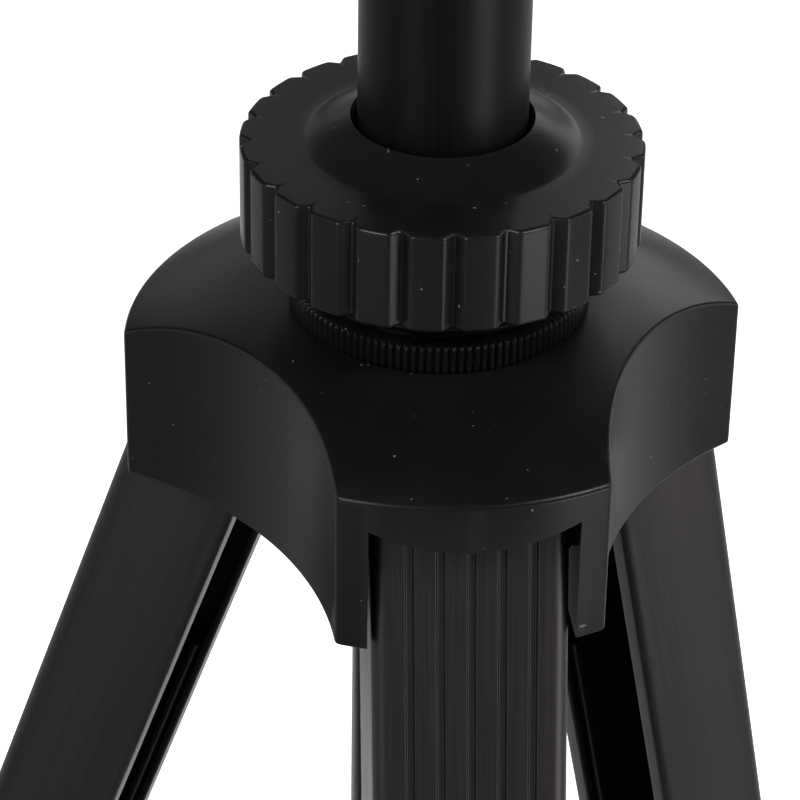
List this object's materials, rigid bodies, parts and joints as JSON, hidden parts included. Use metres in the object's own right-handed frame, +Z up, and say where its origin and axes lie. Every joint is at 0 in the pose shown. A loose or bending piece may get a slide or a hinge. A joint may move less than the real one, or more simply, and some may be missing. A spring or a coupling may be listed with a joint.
{
  "type": "webcam on tripod",
  "caption": "Webcam on an adjustable tripod: lobed crown, clamped centre column, telescoping channel legs with lever clamps, rubber feet and a ball head.",
  "frame": {"origin": "the middle of the footprint's bounding box, on the floor under the rubber feet", "axes": "+Z up along the centre column; -Y is the way the webcam looks and the way the front leg points; +X is to the right seen from the front"},
  "size_m": [0.2932, 0.2302, 0.6351],
  "materials": {
    "crown_plastic": "satin black moulded plastic with a fine texture",
    "collar_plastic": "satin black moulded plastic",
    "column_metal": "satin black anodised tube",
    "leg_metal": "satin dark grey anodised extrusion with bare cut edges",
    "clamp_plastic": "matt black moulded plastic",
    "nylon": "matt dark nylon",
    "rubber": "matt black rubber",
    "knob_rubber": "soft-touch black knob",
    "steel": "turned steel",
    "head_metal": "satin black anodised, turned",
    "camera_plastic": "fine-textured black moulded plastic",
    "front_glass": "gloss black window",
    "lens_metal": "satin black turned ring",
    "lens_glass": "coated lens",
    "board": "green circuit board"
  },
  "bodies": {
    "hub": {"crown": "crown_plastic", "collet": "nylon", "pivot_pin_front": "steel", "pivot_pin_right": "steel", "pivot_pin_left": "steel"},
    "ring": {"lock_ring": "crown_plastic"},
    "collar": {"column_collar": "collar_plastic"},
    "column": {"column_tube": "column_metal", "column_plug": "camera_plastic", "head_base": "head_metal"},
    "head": {"head_housing": "head_metal"},
    "ball_knob": {"ball_lock_knob": "knob_rubber"},
    "pan_knob": {"pan_lock_knob": "knob_rubber"},
    "ball": {"ball_stem": "steel", "head_platform": "head_metal", "platform_pad": "rubber", "camera_screw": "steel", "clip_flap": "camera_plastic", "clip_pin": "steel"},
    "leaf": {"clip_leaf": "camera_plastic", "tilt_pin": "steel"},
    "camera": {"cam_front_shell": "camera_plastic", "cam_rear_shell": "camera_plastic", "cam_front_glass": "front_glass", "lens_barrel": "lens_metal", "lens_glass": "lens_glass", "circuit_board": "board"},
    "leg_front": {"leg_channel_front": "leg_metal", "leg_top_block_front": "nylon", "upper_clamp_front": "clamp_plastic"},
    "upper_lever_front": {"upper_lever_front": "clamp_plastic"},
    "middle_front": {"leg_middle_front": "leg_metal", "lower_clamp_front": "clamp_plastic"},
    "lower_lever_front": {"lower_lever_front": "clamp_plastic"},
    "lower_front": {"leg_lower_front": "leg_metal", "foot_front": "rubber"},
    "leg_right": {"leg_channel_right": "leg_metal", "leg_top_block_right": "nylon", "upper_clamp_right": "clamp_plastic"},
    "upper_lever_right": {"upper_lever_right": "clamp_plastic"},
    "middle_right": {"leg_middle_right": "leg_metal", "lower_clamp_right": "clamp_plastic"},
    "lower_lever_right": {"lower_lever_right": "clamp_plastic"},
    "lower_right": {"leg_lower_right": "leg_metal", "foot_right": "rubber"},
    "leg_left": {"leg_channel_left": "leg_metal", "leg_top_block_left": "nylon", "upper_clamp_left": "clamp_plastic"},
    "upper_lever_left": {"upper_lever_left": "clamp_plastic"},
    "middle_left": {"leg_middle_left": "leg_metal", "lower_clamp_left": "clamp_plastic"},
    "lower_lever_left": {"lower_lever_left": "clamp_plastic"},
    "lower_left": {"leg_lower_left": "leg_metal", "foot_left": "rubber"}
  },
  "joints": [
    {"name": "ring_turn", "type": "hinge", "parent": "hub", "child": "ring", "pos_m": [0.0252, 0.00857, 0.4393], "axis": [0, 0, 1], "range_deg": [0, 90]},
    {"name": "collar_turn", "type": "hinge", "parent": "hub", "child": "collar", "pos_m": [0.0252, 0.00857, 0.4665], "axis": [0, 0, 1], "range_deg": [0, 120]},
    {"name": "column_slide", "type": "slide", "parent": "hub", "child": "column", "axis": [0, 0, 1], "range_m": [-0.055, 0.14]},
    {"name": "head_pan", "type": "hinge", "parent": "column", "child": "head", "pos_m": [0.0252, 0.00857, 0.5341], "axis": [0, 0, 1], "continuous": true},
    {"name": "ball_tilt", "type": "hinge", "parent": "head", "child": "ball", "pos_m": [0.0252, 0.00857, 0.5521], "axis": [1, 0, 0], "range_deg": [-28, 28]},
    {"name": "ball_knob_turn", "type": "hinge", "parent": "head", "child": "ball_knob", "pos_m": [0.0452, 0.00857, 0.5521], "axis": [1, 0, 0], "range_deg": [0, 180]},
    {"name": "pan_knob_turn", "type": "hinge", "parent": "head", "child": "pan_knob", "pos_m": [0.0052, 0.00857, 0.5404], "axis": [-1, 0, 0], "range_deg": [0, 180]},
    {"name": "clip_open", "type": "hinge", "parent": "ball", "child": "leaf", "pos_m": [0.0252, 0.02907, 0.58495], "axis": [-1, 0, 0], "range_deg": [0, 90]},
    {"name": "camera_tilt", "type": "hinge", "parent": "leaf", "child": "camera", "pos_m": [0.0252, 0.00857, 0.5981], "axis": [1, 0, 0], "range_deg": [-20, 45]},
    {"name": "splay_front", "type": "hinge", "parent": "hub", "child": "leg_front", "pos_m": [0.0252, -0.02543, 0.42], "axis": [-1, 0, 0], "range_deg": [-10.8, 13.2]},
    {"name": "upper_lever_front_flip", "type": "hinge", "parent": "leg_front", "child": "upper_lever_front", "pos_m": [0.0252, -0.10371, 0.09287], "axis": [1, 0, 0], "range_deg": [0, 100]},
    {"name": "middle_front_slide", "type": "slide", "parent": "leg_front", "child": "middle_front", "axis": [0, -0.1874, -0.9823], "range_m": [0, 0.208]},
    {"name": "lower_lever_front_flip", "type": "hinge", "parent": "middle_front", "child": "lower_lever_front", "pos_m": [0.0252, -0.11019, 0.04932], "axis": [1, 0, 0], "range_deg": [0, 100]},
    {"name": "lower_front_slide", "type": "slide", "parent": "middle_front", "child": "lower_front", "axis": [0, -0.1874, -0.9823], "range_m": [-0.003, 0.1478]},
    {"name": "splay_right", "type": "hinge", "parent": "hub", "child": "leg_right", "pos_m": [0.05464, 0.02557, 0.42], "axis": [0.5, -0.866, 0], "range_deg": [-12.2, 11.8]},
    {"name": "upper_lever_right_flip", "type": "hinge", "parent": "leg_right", "child": "upper_lever_right", "pos_m": [0.12934, 0.0687, 0.09488], "axis": [-0.5, 0.866, 0], "range_deg": [0, 100]},
    {"name": "middle_right_slide", "type": "slide", "parent": "leg_right", "child": "middle_right", "axis": [0.183, 0.1057, -0.9774], "range_m": [0, 0.208]},
    {"name": "lower_lever_right_flip", "type": "hinge", "parent": "middle_right", "child": "lower_lever_right", "pos_m": [0.13587, 0.07247, 0.0515], "axis": [-0.5, 0.866, 0], "range_deg": [0, 100]},
    {"name": "lower_right_slide", "type": "slide", "parent": "middle_right", "child": "lower_right", "axis": [0.183, 0.1057, -0.9774], "range_m": [-0.0051, 0.1457]},
    {"name": "splay_left", "type": "hinge", "parent": "hub", "child": "leg_left", "pos_m": [-0.00424, 0.02557, 0.42], "axis": [0.5, 0.866, 0], "range_deg": [-19.65, 4.35]},
    {"name": "upper_lever_left_flip", "type": "hinge", "parent": "leg_left", "child": "upper_lever_left", "pos_m": [-0.11482, 0.08941, 0.10881], "axis": [-0.5, -0.866, 0], "range_deg": [0, 100]},
    {"name": "middle_left_slide", "type": "slide", "parent": "leg_left", "child": "middle_left", "axis": [-0.2912, 0.1681, -0.9418], "range_m": [0, 0.208]},
    {"name": "lower_lever_left_flip", "type": "hinge", "parent": "middle_left", "child": "lower_lever_left", "pos_m": [-0.12616, 0.09596, 0.06677], "axis": [-0.5, -0.866, 0], "range_deg": [0, 100]},
    {"name": "lower_left_slide", "type": "slide", "parent": "middle_left", "child": "lower_left", "axis": [-0.2912, 0.1681, -0.9418], "range_m": [-0.021, 0.1298]}
  ]
}
